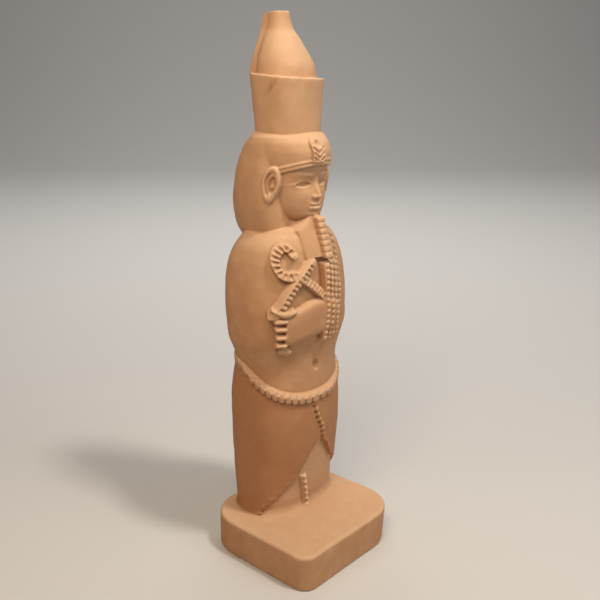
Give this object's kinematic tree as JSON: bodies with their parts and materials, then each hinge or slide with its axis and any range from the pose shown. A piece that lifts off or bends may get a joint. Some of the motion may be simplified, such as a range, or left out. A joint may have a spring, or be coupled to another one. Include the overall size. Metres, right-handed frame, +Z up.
{
  "type": "ushabti",
  "caption": "Carved stone funerary figure with a tall double crown, headcloth, crook and flail and a wrapped kilt, standing on its own plinth.",
  "frame": {"origin": "middle of the plinth's underside, measured between the plinth's sides as they stand at its top edge", "axes": "+Z up the figure, -Y the way the figure faces, -X towards the figure's own right hand"},
  "size_m": [0.0856, 0.0897, 0.3012],
  "materials": {
    "stone": "matte carved stone, warm tan, with paler worn edges and darker hollows"
  },
  "bodies": {
    "root": {"ushabti": "stone"}
  },
  "joints": []
}
